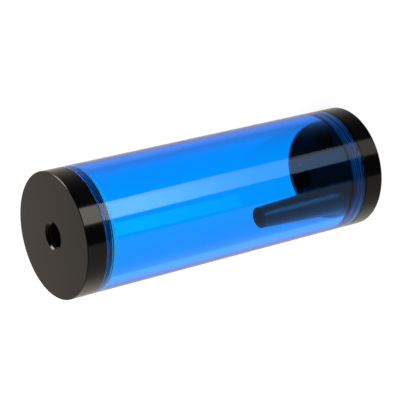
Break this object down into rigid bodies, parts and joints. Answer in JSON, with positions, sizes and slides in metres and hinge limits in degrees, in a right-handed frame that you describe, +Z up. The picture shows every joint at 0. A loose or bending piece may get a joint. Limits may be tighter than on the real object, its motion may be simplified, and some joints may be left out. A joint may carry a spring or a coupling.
{
  "type": "water cooling reservoir",
  "caption": "Clear blue cylindrical coolant reservoir: acrylic tube closed by two screw caps with pipe ports, one central on top, the rest in the foot, one of them with an inner riser pipe.",
  "frame": {"origin": "centre of the foot cap's outer face, on the tube's axis, where the reservoir stands", "axes": "+Z up along the tube's axis from the foot cap to the fill cap; +Y through one of the foot cap's open ports; the riser pipe stands on the port 120 degrees further round"},
  "size_m": [0.06, 0.06, 0.171],
  "materials": {
    "blue_acrylic": "clear, tinted blue, polished",
    "cap_acetal": "black, turned and polished on the rim, finely turned on the end face",
    "seal_rubber": "black, smooth",
    "riser_plastic": "black, moulded"
  },
  "bodies": {
    "base": {"foot_cap": "cap_acetal", "riser_pipe": "riser_plastic"},
    "foot_seal": {"foot_cap_ring": "seal_rubber"},
    "barrel": {"tube": "blue_acrylic"},
    "fill_seal": {"fill_cap_ring": "seal_rubber"},
    "lid": {"fill_cap": "cap_acetal"}
  },
  "joints": [
    {"name": "barrel_turn", "type": "hinge", "parent": "base", "child": "foot_seal", "pos_m": [0, 0, 0.01], "axis": [0, 0, 1], "range_deg": [0, 1980]},
    {"name": "barrel_lift", "type": "slide", "parent": "foot_seal", "child": "barrel", "axis": [0, 0, 1], "range_m": [0, 0.0055]},
    {"name": "lid_lift", "type": "slide", "parent": "barrel", "child": "fill_seal", "axis": [0, 0, 1], "range_m": [0, 0.0055]},
    {"name": "lid_turn", "type": "hinge", "parent": "fill_seal", "child": "lid", "pos_m": [0, 0, 0.161], "axis": [0, 0, 1], "range_deg": [0, 1980]}
  ],
  "couplings": [
    {"joint": "barrel_lift", "follows": "barrel_turn", "m_per_rad": 0.00015915},
    {"joint": "lid_lift", "follows": "lid_turn", "m_per_rad": 0.00015915}
  ]
}
